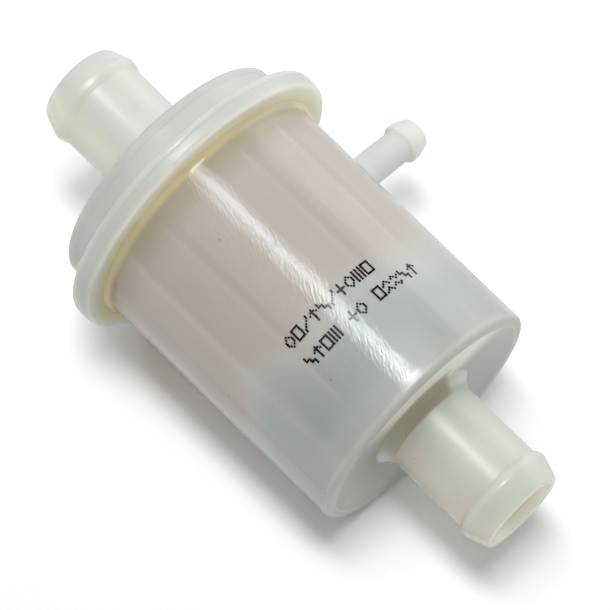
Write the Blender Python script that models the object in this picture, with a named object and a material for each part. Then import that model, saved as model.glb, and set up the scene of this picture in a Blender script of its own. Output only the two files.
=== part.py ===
"""In-line fuel filter for a small engine, with its filter element, as separate solids.

The filter lies on its side. X runs along its axis with the inlet at +X, +Z is up, and the
side nipple points to -Y, a little below level. The origin is on the axis, halfway along the
pleated element, which is also where the filter balances. The measures along the axis below
count from the face of the housing's flange that looks at the outlet.
"""

import math

import bmesh
import bpy
from mathutils import Matrix, Vector

MM = 0.001
CLEARANCE = 0.3              # left between neighbouring pieces

# Housing: outer shape
BODY_R = 20.0                # at the flange
BODY_END_R = 19.7            # at the bottom, after the mould's draft
BODY_LENGTH = 45.4           # flange face to bottom face
BODY_EDGE_R = 1.7            # rounding of the bottom edge
FLANGE_R = 24.0
FLANGE_THICKNESS = 2.1
FLANGE_CHAMFER = 0.4
WELD_CHAMFER = 0.2           # at the weld line between the two flanges
FLANGE_FILLET = 0.9          # between flange and body wall
WALL = 1.8
BOTTOM_WALL = 2.0
BOTTOM_CHAMFER = 1.6         # inside, between wall and bottom
BOTTOM_DISH = 0.6            # the bottom face is sunk inside its rim
BOTTOM_RIM_SLOPE = 2.0       # width of the slope from the rim down to the sunk face

# Housing: ribs that keep the element centred
RIB_COUNT = 16
RIB_HEIGHT = 0.9
RIB_HALF_ANGLE = 2.4         # degrees
RIB_START = -3.2
RIB_RUN_OUT = 0.5
RIB_END = -40.4

# Hose barbs of inlet and outlet
STEM_R = 7.4
BARB_R = 8.05
BARB_TIP_R = 6.6
BORE_R = 5.5
BARB_STEP = 0.3              # axial length of the step behind the barb
BARB_LAND = 1.2
BARB_SHOULDER = 3.8
BARB_SHOULDER_R = 7.25
BARB_LENGTH = 4.9
OUTLET_STEM_END = -59.8
INLET_STEM_END = 23.1
OUTLET_TIP = OUTLET_STEM_END - BARB_LENGTH
INLET_TIP = INLET_STEM_END + BARB_LENGTH
COLLAR_R = 9.4               # fillet where the outlet leaves the bottom
COLLAR_HEIGHT = 1.5
STEM_FILLET = 0.6            # where a stem leaves its face

# Standpipe inside the housing, which carries the element
STANDPIPE_TOP = -36.2

# Side nipple
NIPPLE_X = -10.4
NIPPLE_DROP = 8.1            # degrees below -Y
NIPPLE_STEM_R = 2.67
NIPPLE_BARB_R = 3.25
NIPPLE_TIP_R = 2.5
NIPPLE_BORE_R = 1.6
NIPPLE_FILLET_R = 3.9
NIPPLE_FILLET_RUN = 1.4
NIPPLE_FILLET_END = 22.4     # distances from the filter's axis
NIPPLE_STEM_END = 30.0
NIPPLE_LAND_END = 31.2
NIPPLE_TIP = 33.5

# Cover
COVER_FLANGE_BOTTOM = FLANGE_THICKNESS + CLEARANCE
COVER_FLANGE_TOP = 3.3
DOME_R = 20.2
DOME_TOP = 8.6
DOME_EDGE_R = 2.0
DOME_WALL = 2.1
SPIGOT_R = BODY_R - WALL - CLEARANCE
SPIGOT_WALL = 1.0
SPIGOT_END = -2.4

# Element
PLEATS = 36
PAPER_R = 14.9
PAPER_VALLEY_R = 7.2
PAPER_RADIAL_WALL = 3.3      # the flanks are steep, so the sheet itself is about 0.4 thick
PAPER_TIP_SHARE = 0.22       # share of the pitch taken by the flat of each fold
PAPER_TOP = 0.1
PAPER_BOTTOM = -32.0
POTTING_THICKNESS = 1.2
CAP_THICKNESS = 1.2
CAP_SKIRT_WALL = 0.7
CAP_SKIRT_DEPTH = 1.6
CAP_R = PAPER_R + CLEARANCE + CAP_SKIRT_WALL
LOWER_CAP_RIM_R = BODY_R - WALL - RIB_HEIGHT - CLEARANCE
SPACER_COUNT = 4
SPACER_LENGTH = 5.0
SPACER_WIDTH = 1.2
SPACER_CENTRE_R = 12.0
CORE_R = 6.6
CORE_INNER_R = 5.7
CORE_WINDOW_ROWS = 6
CORE_WINDOW_PAIRS = 3
CORE_WINDOW_LENGTH = 3.0
CORE_WINDOW_WIDTH = 2.6
COLLAR_SOCKET_R = 9.2
COLLAR_SOCKET_WALL = 1.2
COLLAR_SOCKET_LENGTH = 5.2
SEAL_CENTRE_R = (STEM_R + COLLAR_SOCKET_R) / 2
SEAL_SECTION_R = (COLLAR_SOCKET_R - STEM_R) / 2 - CLEARANCE
SEAL_X = -38.0
GLUE_WIDTH = 0.3
GLUE_DEPTH = 2.2
GLUE_TOP_R = PAPER_R - PAPER_RADIAL_WALL - 2 * CLEARANCE

FLANGE_FACE_X = -(PAPER_TOP + PAPER_BOTTOM) / 2      # seen from the origin

SEGMENTS = 48
SMALL_SEGMENTS = 32
ARC_STEPS = 3
SHARP_ANGLE = math.radians(32)

COLOURS = {                  # base colour, roughness
    "nylon_body": ((0.66, 0.66, 0.61), 0.32),
    "nylon_cover": ((0.68, 0.70, 0.64), 0.32),
    "filter_paper": ((0.74, 0.55, 0.48), 0.85),
    "cap_plastic": ((0.80, 0.80, 0.77), 0.45),
    "potting": ((0.72, 0.62, 0.42), 0.50),
    "core_plastic": ((0.82, 0.82, 0.80), 0.45),
    "seal_rubber": ((0.03, 0.03, 0.03), 0.60),
    "seam_glue": ((0.80, 0.72, 0.50), 0.40),
}


def clear_scene():
    for thing in list(bpy.data.objects):
        bpy.data.objects.remove(thing, do_unlink=True)


def make_material(name):
    colour, roughness = COLOURS[name]
    material = bpy.data.materials.new(name)
    material.use_nodes = True
    shader = material.node_tree.nodes["Principled BSDF"]
    shader.inputs["Base Color"].default_value = (*colour, 1.0)
    shader.inputs["Roughness"].default_value = roughness
    shader.inputs["Metallic"].default_value = 0.0
    return material


def add_object(name, mesh_builder, material):
    """Turn a bmesh into an object in metres, facing outwards."""
    bmesh.ops.recalc_face_normals(mesh_builder, faces=mesh_builder.faces)
    mesh = bpy.data.meshes.new(name)
    mesh_builder.to_mesh(mesh)
    mesh_builder.free()
    mesh.shade_smooth()
    mesh.set_sharp_from_angle(angle=SHARP_ANGLE)
    if material:
        mesh.materials.append(make_material(material))
    thing = bpy.data.objects.new(name, mesh)
    bpy.context.scene.collection.objects.link(thing)
    return thing


def add_block(builder, centre, size, angle):
    """A box in millimetres, turned about the filter's axis."""
    stretch = Matrix.Diagonal((*(Vector(size) * MM), 1))
    place = Matrix.Rotation(angle, 4, "X") @ Matrix.Translation(Vector(centre) * MM) @ stretch
    bmesh.ops.create_cube(builder, size=1, matrix=place)


def even_angles(count):
    return [2 * math.pi * index / count for index in range(count)]


def rib_angles():
    """Angles around the axis, dense at each rib; every rib's crest comes first."""
    pitch = 360 / RIB_COUNT
    between = (pitch - 2 * RIB_HALF_ANGLE) / 3
    offsets = (0, RIB_HALF_ANGLE, RIB_HALF_ANGLE + between, pitch - RIB_HALF_ANGLE - between,
               pitch - RIB_HALF_ANGLE)
    start = 90 + NIPPLE_DROP
    return [math.radians(start + rib * pitch + offset) for rib in range(RIB_COUNT) for offset in offsets]


def on_axis_circle(x, radius, angle):
    """A point around X; angle 0 is +Z and 90 degrees is -Y."""
    return Vector((x, -radius * math.sin(angle), radius * math.cos(angle))) * MM


def turned(profile, angles, closed=True, rib_crests=()):
    """Turn (x, radius) points about X. Points listed in rib_crests sink towards the axis at each rib.

    A closed profile makes a ring-shaped body. An open one starts and ends on the axis.
    """
    builder = bmesh.new()
    rings = []
    for index, (x, radius) in enumerate(profile):
        if radius == 0:
            rings.append([builder.verts.new((x * MM, 0, 0))] * len(angles))
            continue
        ring = []
        for step, angle in enumerate(angles):
            crest = index in rib_crests and step % (len(angles) // RIB_COUNT) == 0
            ring.append(builder.verts.new(on_axis_circle(x, radius - (RIB_HEIGHT if crest else 0), angle)))
        rings.append(ring)
    pairs = list(zip(rings, rings[1:]))
    if closed:
        pairs.append((rings[-1], rings[0]))
    for near, far in pairs:
        for step in range(len(angles)):
            following = (step + 1) % len(angles)
            corners = [near[step], near[following], far[following], far[step]]
            unique = list(dict.fromkeys(corners))
            builder.faces.new(unique)
    return builder


def arc(centre_x, centre_r, radius, start, end, steps=ARC_STEPS):
    """Points on an arc of a profile; 0 degrees points along +X and 90 outwards."""
    points = []
    for step in range(steps + 1):
        angle = math.radians(start + (end - start) * step / steps)
        points.append((centre_x + radius * math.cos(angle), centre_r + radius * math.sin(angle)))
    return points


def barb(stem_end, direction):
    """Profile of a hose barb from its step to its bore; direction is +1 for +X."""
    return [
        (stem_end, STEM_R),
        (stem_end + direction * BARB_STEP, BARB_R),
        (stem_end + direction * BARB_LAND, BARB_R),
        (stem_end + direction * BARB_SHOULDER, BARB_SHOULDER_R),
        (stem_end + direction * BARB_LENGTH, BARB_TIP_R),
        (stem_end + direction * BARB_LENGTH, BORE_R),
    ]


def housing_profile():
    """The cup with its flange, bottom, outlet and standpipe. Returns it with its ribbed points."""
    inner_r = BODY_R - WALL
    inner_bottom = -(BODY_LENGTH - BOTTOM_WALL)
    outer = [(FLANGE_THICKNESS, FLANGE_R - WELD_CHAMFER), (FLANGE_THICKNESS - WELD_CHAMFER, FLANGE_R)]
    outer += [(FLANGE_CHAMFER, FLANGE_R), (0, FLANGE_R - FLANGE_CHAMFER)]
    outer += arc(-FLANGE_FILLET, BODY_R + FLANGE_FILLET, FLANGE_FILLET, 0, -90, 2)
    outer += arc(-BODY_LENGTH + BODY_EDGE_R, BODY_END_R - BODY_EDGE_R, BODY_EDGE_R, 90, 180)
    outer += [(-BODY_LENGTH + BOTTOM_DISH, BODY_END_R - BODY_EDGE_R - BOTTOM_RIM_SLOPE)]
    outer += [(-BODY_LENGTH + BOTTOM_DISH, COLLAR_R)]
    outer += [(-BODY_LENGTH - COLLAR_HEIGHT / 3, STEM_R + STEM_FILLET)]
    outer += [(-BODY_LENGTH - COLLAR_HEIGHT, STEM_R)]
    outer += barb(OUTLET_STEM_END, -1)
    inner = [(STANDPIPE_TOP, BORE_R), (STANDPIPE_TOP, STEM_R), (inner_bottom, STEM_R)]
    inner += [(inner_bottom, inner_r - BOTTOM_CHAMFER), (inner_bottom + BOTTOM_CHAMFER, inner_r)]
    first_rib = len(outer) + len(inner)
    inner += [(RIB_END, inner_r), (RIB_START, inner_r)]
    inner += [(RIB_START + RIB_RUN_OUT, inner_r), (FLANGE_THICKNESS, inner_r)]
    return outer + inner, (first_rib, first_rib + 1)


def nipple_placement():
    """Matrix that carries a turned profile from the X axis onto the nipple's axis."""
    turn = Matrix.Rotation(math.radians(-90), 4, "Z")
    drop = Matrix.Rotation(math.radians(NIPPLE_DROP), 4, "X")
    return Matrix.Translation((NIPPLE_X * MM, 0, 0)) @ drop @ turn


def boolean(target, cutter, operation):
    modifier = target.modifiers.new(operation.lower(), "BOOLEAN")
    modifier.operation = operation
    modifier.solver = "EXACT"
    modifier.object = cutter
    cutter.hide_render = True
    cutter.display_type = "WIRE"


def build_housing():
    profile, ribbed = housing_profile()
    housing = add_object("housing", turned(profile, rib_angles(), rib_crests=ribbed), "nylon_body")
    wall_middle = BODY_R - WALL / 2
    nipple = [
        (wall_middle, 0), (wall_middle, NIPPLE_FILLET_R), (BODY_R, NIPPLE_FILLET_R),
        (NIPPLE_FILLET_END - NIPPLE_FILLET_RUN, NIPPLE_STEM_R + STEM_FILLET),
        (NIPPLE_FILLET_END, NIPPLE_STEM_R),
        (NIPPLE_STEM_END, NIPPLE_STEM_R), (NIPPLE_STEM_END + BARB_STEP / 2, NIPPLE_BARB_R),
        (NIPPLE_LAND_END, NIPPLE_BARB_R), (NIPPLE_TIP, NIPPLE_TIP_R), (NIPPLE_TIP, 0),
    ]
    bore = [(BODY_R - WALL - 2 * RIB_HEIGHT, 0), (BODY_R - WALL - 2 * RIB_HEIGHT, NIPPLE_BORE_R),
            (NIPPLE_TIP + 1, NIPPLE_BORE_R), (NIPPLE_TIP + 1, 0)]
    forms = (("nipple_form", nipple, "UNION"), ("nipple_bore", bore, "DIFFERENCE"))
    for name, points, operation in forms:
        form = add_object(name, turned(points, even_angles(SMALL_SEGMENTS), closed=False), None)
        form.matrix_world = nipple_placement()
        boolean(housing, form, operation)


def build_cover():
    """Dome with the inlet barb, a thin welding flange and a spigot inside the housing."""
    inner_r = DOME_R - DOME_WALL
    inner_top = DOME_TOP - DOME_WALL
    weld_edge = FLANGE_R - WELD_CHAMFER
    profile = [(SPIGOT_END, SPIGOT_R), (COVER_FLANGE_BOTTOM, SPIGOT_R)]
    profile += [(COVER_FLANGE_BOTTOM, weld_edge), (COVER_FLANGE_BOTTOM + WELD_CHAMFER, FLANGE_R)]
    profile += [(COVER_FLANGE_TOP - FLANGE_CHAMFER, FLANGE_R), (COVER_FLANGE_TOP, FLANGE_R - FLANGE_CHAMFER)]
    profile += [(COVER_FLANGE_TOP, DOME_R)]
    profile += arc(DOME_TOP - DOME_EDGE_R, DOME_R - DOME_EDGE_R, DOME_EDGE_R, 90, 0)
    profile += [(DOME_TOP, STEM_R + STEM_FILLET), (DOME_TOP + STEM_FILLET, STEM_R)]
    profile += barb(INLET_STEM_END, 1)
    profile += [(inner_top, BORE_R), (inner_top, inner_r - 1.2), (inner_top - 1.2, inner_r)]
    profile += [(COVER_FLANGE_TOP + 1.2, inner_r), (COVER_FLANGE_TOP, SPIGOT_R - SPIGOT_WALL)]
    profile += [(SPIGOT_END, SPIGOT_R - SPIGOT_WALL)]
    add_object("inlet_cover", turned(profile, even_angles(SEGMENTS)), "nylon_cover")


def star_outline(radial_offset):
    """One turn of the pleats as (radius, angle) points, with a small flat at every fold."""
    pitch = 2 * math.pi / PLEATS
    flat = pitch * PAPER_TIP_SHARE / 2
    points = []
    for pleat in range(PLEATS):
        middle = pleat * pitch
        crest = PAPER_R - radial_offset
        valley = PAPER_VALLEY_R + PAPER_RADIAL_WALL - radial_offset
        points += [(crest, middle - flat), (crest, middle + flat)]
        points += [(valley, middle + pitch / 2 - flat), (valley, middle + pitch / 2 + flat)]
    return points


def build_paper():
    builder = bmesh.new()
    loops = []
    wall = PAPER_RADIAL_WALL
    for offset, x in ((0, PAPER_TOP), (0, PAPER_BOTTOM), (wall, PAPER_BOTTOM), (wall, PAPER_TOP)):
        outline = star_outline(offset)
        loops.append([builder.verts.new(on_axis_circle(x, radius, angle)) for radius, angle in outline])
    count = len(loops[0])
    for near, far in zip(loops, loops[1:] + loops[:1]):
        for step in range(count):
            following = (step + 1) % count
            builder.faces.new((near[step], near[following], far[following], far[step]))
    add_object("pleated_paper", builder, "filter_paper")


def build_upper_cap():
    """Closed cap over the element, with four spacers that hold it down under the dome."""
    bottom = PAPER_TOP + 2 * CLEARANCE + POTTING_THICKNESS
    top = bottom + CAP_THICKNESS
    skirt_r = CAP_R - CAP_SKIRT_WALL
    profile = [(top, 0), (top, CAP_R), (bottom - CAP_SKIRT_DEPTH, CAP_R)]
    profile += [(bottom - CAP_SKIRT_DEPTH, skirt_r), (bottom, skirt_r), (bottom, 0)]
    cap = add_object("upper_end_cap", turned(profile, even_angles(SEGMENTS), closed=False), "cap_plastic")
    spacer_top = DOME_TOP - DOME_WALL - CLEARANCE
    builder = bmesh.new()
    root = top - CAP_THICKNESS / 2
    for angle in even_angles(SPACER_COUNT):
        centre = ((spacer_top + root) / 2, 0, SPACER_CENTRE_R)
        add_block(builder, centre, (spacer_top - root, SPACER_WIDTH, SPACER_LENGTH), angle)
    boolean(cap, add_object("spacer_form", builder, None), "UNION")


def build_lower_cap():
    """Open cap, centred by the ribs, with a collar that slides over the standpipe and its seal."""
    top = PAPER_BOTTOM - 2 * CLEARANCE - POTTING_THICKNESS
    bottom = top - CAP_THICKNESS
    collar_end = bottom - COLLAR_SOCKET_LENGTH
    collar_r = COLLAR_SOCKET_R + COLLAR_SOCKET_WALL
    skirt_r = CAP_R - CAP_SKIRT_WALL
    profile = [(top + CAP_SKIRT_DEPTH, CAP_R), (top, CAP_R)]
    profile += [(top, LOWER_CAP_RIM_R), (bottom, LOWER_CAP_RIM_R)]
    profile += [(bottom, collar_r), (collar_end, collar_r)]
    profile += [(collar_end, COLLAR_SOCKET_R), (bottom, COLLAR_SOCKET_R), (bottom, CORE_INNER_R)]
    profile += [(top, CORE_INNER_R), (top, skirt_r), (top + CAP_SKIRT_DEPTH, skirt_r)]
    add_object("lower_end_cap", turned(profile, even_angles(SEGMENTS)), "cap_plastic")


def build_potting():
    """Resin discs that close the pleats' ends: a full disc above and a ring below."""
    upper = PAPER_TOP + CLEARANCE
    upper_end = upper + POTTING_THICKNESS
    profile = [(upper_end, 0), (upper_end, PAPER_R), (upper, PAPER_R), (upper, 0)]
    add_object("upper_potting", turned(profile, even_angles(SEGMENTS), closed=False), "potting")
    lower = PAPER_BOTTOM - CLEARANCE
    lower_end = lower - POTTING_THICKNESS
    profile = [(lower, PAPER_R), (lower_end, PAPER_R), (lower_end, CORE_INNER_R), (lower, CORE_INNER_R)]
    add_object("lower_potting", turned(profile, even_angles(SEGMENTS)), "potting")


def build_core():
    """Perforated tube that keeps the pleats from collapsing."""
    profile = [(PAPER_TOP, CORE_R), (PAPER_BOTTOM, CORE_R)]
    profile += [(PAPER_BOTTOM, CORE_INNER_R), (PAPER_TOP, CORE_INNER_R)]
    core = add_object("centre_tube", turned(profile, even_angles(SMALL_SEGMENTS)), "core_plastic")
    pitch = (PAPER_TOP - PAPER_BOTTOM) / CORE_WINDOW_ROWS
    window = (CORE_WINDOW_LENGTH, CORE_WINDOW_WIDTH, 3 * (CORE_R - CORE_INNER_R))
    builder = bmesh.new()
    for row in range(CORE_WINDOW_ROWS):
        x = PAPER_TOP - pitch * (row + 0.5)
        for pair in range(CORE_WINDOW_PAIRS):
            angle = math.pi * (pair + 0.5 * (row % 2)) / CORE_WINDOW_PAIRS
            for side in (1, -1):
                add_block(builder, (x, 0, side * CORE_R), window, angle)
    boolean(core, add_object("window_form", builder, None), "DIFFERENCE")


def build_seal():
    section = arc(SEAL_X, SEAL_CENTRE_R, SEAL_SECTION_R, 0, 360, 10)[:-1]
    add_object("outlet_seal_ring", turned(section, even_angles(SMALL_SEGMENTS)), "seal_rubber")


def build_seam_glue():
    """Strip of glue inside one fold, where the two ends of the pleated sheet meet."""
    builder = bmesh.new()
    length = PAPER_TOP - PAPER_BOTTOM - 2 * CLEARANCE
    centre = ((PAPER_TOP + PAPER_BOTTOM) / 2, 0, GLUE_TOP_R - GLUE_DEPTH / 2)
    add_block(builder, centre, (length, GLUE_WIDTH, GLUE_DEPTH), 0)
    add_object("paper_seam_glue", builder, "seam_glue")


def place_pieces():
    """Hang every piece on an empty in the flange's face, where the measures start."""
    flange_face = bpy.data.objects.new("flange_face_datum", None)
    flange_face.location.x = FLANGE_FACE_X * MM
    bpy.context.scene.collection.objects.link(flange_face)
    for thing in bpy.context.scene.collection.objects:
        if thing.type == "MESH":
            thing.parent = flange_face


def main():
    clear_scene()
    build_housing()
    build_cover()
    build_paper()
    build_upper_cap()
    build_lower_cap()
    build_potting()
    build_core()
    build_seal()
    build_seam_glue()
    place_pieces()


main()
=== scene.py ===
import math
import random

import bmesh
import bpy
from mathutils import Matrix, Vector


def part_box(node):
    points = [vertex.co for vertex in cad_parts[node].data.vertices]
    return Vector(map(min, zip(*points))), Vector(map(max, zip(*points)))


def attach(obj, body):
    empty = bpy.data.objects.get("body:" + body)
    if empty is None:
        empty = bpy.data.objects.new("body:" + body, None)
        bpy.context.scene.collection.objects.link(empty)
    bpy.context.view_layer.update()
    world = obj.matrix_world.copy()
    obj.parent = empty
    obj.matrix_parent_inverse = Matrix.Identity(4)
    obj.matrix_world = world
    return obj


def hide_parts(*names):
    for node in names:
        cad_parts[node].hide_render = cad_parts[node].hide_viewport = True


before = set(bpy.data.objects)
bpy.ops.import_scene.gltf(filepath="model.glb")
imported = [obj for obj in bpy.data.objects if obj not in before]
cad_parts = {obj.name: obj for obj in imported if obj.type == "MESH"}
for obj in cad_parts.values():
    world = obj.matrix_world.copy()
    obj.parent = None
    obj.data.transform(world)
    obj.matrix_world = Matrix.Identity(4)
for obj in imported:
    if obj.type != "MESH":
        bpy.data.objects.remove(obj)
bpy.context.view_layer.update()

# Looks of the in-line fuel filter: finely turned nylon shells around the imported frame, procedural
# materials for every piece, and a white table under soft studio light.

MM = 0.001
BODY = "root"

# The frame's own measures, in millimetres. Along the axis everything below counts from the datum,
# the face of the housing's flange that looks at the outlet.
HOUSING_LOW, HOUSING_HIGH = [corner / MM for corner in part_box("housing")]
COVER_LOW, COVER_HIGH = [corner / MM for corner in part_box("inlet_cover")]
PAPER_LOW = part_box("pleated_paper")[0] / MM
FLANGE_TOP = 2.1
DATUM_X = HOUSING_HIGH.x - FLANGE_TOP
DATUM = Vector((DATUM_X * MM, 0, 0))
OUTLET_TIP = HOUSING_LOW.x - DATUM_X
INLET_TIP = COVER_HIGH.x - DATUM_X
SPIGOT_END = COVER_LOW.x - DATUM_X
PAPER_END = PAPER_LOW.x - DATUM_X
FLANGE_R = HOUSING_HIGH.z
COVER_TOP_FACE = FLANGE_TOP + 1.2

# Housing
BODY_R = FLANGE_R * 5 / 6
DRAFT = 0.3
BODY_BOTTOM = -45.4
BODY_END_R = BODY_R - DRAFT
WALL = 1.8
BOTTOM_WALL = 2.0
RIM_R = 17.95
DISH_DEPTH = 0.9            # the bottom is a shallow cone, deepest at the collar of the stem
BORE_R = 5.5
STEM_R = 7.4
BARB_R = 8.05
BARB_TIP_R = 6.75
BARB_LENGTH = 4.9
BARB_WALL_AT_TIP = 0.85
STANDPIPE_TOP = -36.2
COLLAR_R = 9.2
RIBS = 16
RIBS_FROM = -40.0           # the ribs run on the inner wall between these two places
RIBS_TO = -3.6
RIB_RAMP = 0.4
RIB_HEIGHT = 0.9
RIB_HALF_ANGLE = 2.4        # in degrees, like the sink marks' half angle
RIB_FLANK = 0.7             # the share of a rib's half width that its slope takes
SINKS_FROM = -2.6           # sink marks over the ribs are deepest here and run out at the other end
SINKS_TO = BODY_BOTTOM + 3.0
SINK_DEPTH = 0.025
SINK_HALF_ANGLE = 1.6
NEAR = 0.2                  # slack when a ring of points is told by its place

# Side nipple, measured from the filter's axis
NIPPLE_X = -10.4
NIPPLE_DROP = 8.1
NIPPLE_TIP = 33.5
NIPPLE_STEM_R = 2.67
NIPPLE_BARB_R = 3.25
NIPPLE_BORE_R = 1.6

# Cover
DOME_R = BODY_R + 0.2
DOME_TOP = 8.6
DOME_WALL = 2.1
DOME_EDGE_R = 2.1
WELD_GAP = 0.015            # the two flanges are welded together

# Meshes
TURN_STEPS = 360
NIPPLE_STEPS = 96
ARC_STEP = math.radians(15)
NEARLY_STRAIGHT = 0.02      # a corner flatter than this gets no fillet
FILLET_SHARE = 0.48         # the largest share of an edge that one fillet takes
SMOOTH_BELOW = math.radians(28)
TWIN_GAP = 0.002 * MM


# ---------------------------------------------------------------- mesh tools

def rounded(corners, closed=True):
    """Turn (x, radius, fillet) corners into a polyline whose corners are arcs."""
    points = []
    count = len(corners)
    for index, (x, r, fillet) in enumerate(corners):
        here = Vector((x, r))
        if fillet <= 0 or (not closed and index in (0, count - 1)):
            points.append(here)
            continue
        before = Vector(corners[index - 1][:2]) - here
        after = Vector(corners[(index + 1) % count][:2]) - here
        opening = before.angle(after)
        if opening > math.pi - NEARLY_STRAIGHT:
            points.append(here)
            continue
        longest = FILLET_SHARE * min(before.length, after.length)
        reach = min(fillet / math.tan(opening / 2), longest)
        radius = reach * math.tan(opening / 2)
        middle = (before.normalized() + after.normalized()).normalized()
        centre = here + middle * (radius / math.sin(opening / 2))
        first = here + before.normalized() * reach - centre
        sweep = first.angle_signed(here + after.normalized() * reach - centre)
        steps = max(2, math.ceil(abs(sweep) / ARC_STEP))
        for step in range(steps + 1):
            points.append(centre + Matrix.Rotation(-sweep * step / steps, 2) @ first)
    return points


def around(x, radius, angle):
    """A point around the filter's axis in metres; angle 0 is up and 90 degrees is -Y."""
    return Vector((x, -radius * math.sin(angle), radius * math.cos(angle))) * MM


def turned(profile, steps, closed=True, shape=None):
    """Turn a profile about X. shape(x, radius, angle) may change a point's radius."""
    builder = bmesh.new()
    rings = []
    for x, r in profile:
        if r == 0:
            rings.append([builder.verts.new((x * MM, 0, 0))] * steps)
            continue
        ring = []
        for step in range(steps):
            angle = 2 * math.pi * step / steps
            radius = shape(x, r, angle) if shape else r
            ring.append(builder.verts.new(around(x, radius, angle)))
        rings.append(ring)
    pairs = list(zip(rings, rings[1:]))
    if closed:
        pairs.append((rings[-1], rings[0]))
    for near, far in pairs:
        for step in range(steps):
            following = (step + 1) % steps
            corners = (near[step], near[following], far[following], far[step])
            builder.faces.new(list(dict.fromkeys(corners)))
    return builder


def add_mesh(name, builder):
    """Turn a bmesh into an object of the scene, with its normals outwards."""
    bmesh.ops.recalc_face_normals(builder, faces=builder.faces)
    mesh = bpy.data.meshes.new(name)
    builder.to_mesh(mesh)
    builder.free()
    thing = bpy.data.objects.new(name, mesh)
    bpy.context.scene.collection.objects.link(thing)
    return thing


def cut_or_join(target, tool, operation):
    """Apply an exact Boolean and delete its tool."""
    modifier = target.modifiers.new(operation, "BOOLEAN")
    modifier.operation = operation
    modifier.solver = "EXACT"
    modifier.object = tool
    with bpy.context.temp_override(object=target, active_object=target, selected_objects=[target]):
        bpy.ops.object.modifier_apply(modifier=modifier.name)
    bpy.data.objects.remove(tool, do_unlink=True)


def merge_twins(thing):
    """Merge the twin points that a Boolean leaves, so that no face is without area."""
    builder = bmesh.new()
    builder.from_mesh(thing.data)
    bmesh.ops.remove_doubles(builder, verts=builder.verts, dist=TWIN_GAP)
    bmesh.ops.dissolve_degenerate(builder, edges=builder.edges, dist=TWIN_GAP)
    builder.to_mesh(thing.data)
    builder.free()


def finish_piece(thing, material, slot, *replaced):
    """Give a piece its material, edges and place, and hang it on the body."""
    thing.data.materials.clear()
    thing.data.materials.append(material)
    thing.location = DATUM
    thing.data.shade_smooth()
    thing.data.set_sharp_from_angle(angle=SMOOTH_BELOW)
    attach(thing, BODY)
    if replaced:
        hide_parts(*replaced)


# ---------------------------------------------------------------- shapes

def barb(stem_end, tip, softness):
    """Corners of a hose barb, from the end of its stem to its bore."""
    out = math.copysign(1, tip - stem_end)
    return [
        (stem_end - out * softness, STEM_R, 0.2 + softness),
        (stem_end + out * 0.5, BARB_R - 0.2, 0.4),
        (stem_end + out * 1.3, BARB_R, 0.8),
        (stem_end + out * 3.9, BARB_R - 0.9, 2.0),
        (tip, BARB_TIP_R, 0.45),
        (tip, BARB_TIP_R - BARB_WALL_AT_TIP, 0.3),
        (tip - out * 1.6, BORE_R, 0.8),
    ]


def rib_distance(angle):
    """Degrees from the nearest rib; one rib points along the nipple."""
    pitch = 360 / RIBS
    offset = (math.degrees(angle) - 90 - NIPPLE_DROP) % pitch
    return min(offset, pitch - offset)


def housing_corners():
    """The housing's half section: over the outside to the outlet's tip, and back along the inside."""
    inner_r = BODY_R - WALL
    inner_bottom = BODY_BOTTOM + BOTTOM_WALL
    outer = [
        (FLANGE_TOP, inner_r, 0.1),
        (FLANGE_TOP, FLANGE_R - 0.02, 0),
        (FLANGE_TOP - 0.4, FLANGE_R, 0.6),
        (0, FLANGE_R - 0.15, 0.9),
        (0, BODY_R, 0.9),
        (SINKS_FROM + 1.0, BODY_R, 0),
        (SINKS_FROM, BODY_R, 0),
        (SINKS_TO, BODY_END_R, 0),
        (BODY_BOTTOM + 2.0, BODY_END_R, 0),
        (BODY_BOTTOM, BODY_END_R, 1.7),
        (BODY_BOTTOM, RIM_R, 1.3),
        (BODY_BOTTOM + DISH_DEPTH, COLLAR_R, 0.5),
        (BODY_BOTTOM + 0.1, COLLAR_R - 1.0, 0.4),
        (BODY_BOTTOM - 1.2, STEM_R, 1.0),
    ]
    stem = barb(OUTLET_TIP + BARB_LENGTH, OUTLET_TIP, 0.05)
    inner = [
        (STANDPIPE_TOP, BORE_R, 0.2),
        (STANDPIPE_TOP, STEM_R, 0.2),
        (inner_bottom, STEM_R, 0.5),
        (inner_bottom, inner_r, 1.6),
        (RIBS_FROM - RIB_RAMP, inner_r, 0),
        (RIBS_FROM, inner_r, 0),
        (RIBS_TO, inner_r, 0),
        (RIBS_TO + RIB_RAMP, inner_r, 0),
    ]
    return outer + stem + inner


def housing_shape(x, radius, angle):
    """Sink marks outside and ribs inside, at the same angles."""
    distance = rib_distance(angle)
    outside = abs(radius - (BODY_R - DRAFT / 2)) < DRAFT
    if outside and SINKS_TO + NEAR < x < SINKS_FROM + NEAR:
        return radius - SINK_DEPTH * math.exp(-(distance / SINK_HALF_ANGLE) ** 2)
    inside = abs(radius - (BODY_R - WALL)) < 0.01
    if inside and RIBS_FROM - NEAR < x < RIBS_TO + NEAR:
        slope = (RIB_HALF_ANGLE - distance) / (RIB_HALF_ANGLE * RIB_FLANK)
        return radius - RIB_HEIGHT * min(1, max(0, slope))
    return radius


def nipple_corners():
    """The nipple's half section along its own axis, from inside the wall to its tip."""
    return [
        (BODY_R - WALL / 2, 0, 0),
        (BODY_R - WALL / 2, 4.3, 0),
        (BODY_R - 0.35, 4.3, 0),
        (BODY_R + 0.9, NIPPLE_STEM_R + 0.25, 2.2),
        (BODY_R + 2.8, NIPPLE_STEM_R, 2.0),
        (NIPPLE_TIP - 3.55, NIPPLE_STEM_R - 0.05, 0.1),
        (NIPPLE_TIP - 3.4, NIPPLE_BARB_R, 0.25),
        (NIPPLE_TIP - 2.2, NIPPLE_BARB_R, 0.6),
        (NIPPLE_TIP, NIPPLE_STEM_R - 0.1, 0.6),
        (NIPPLE_TIP, 0, 0),
    ]


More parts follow.
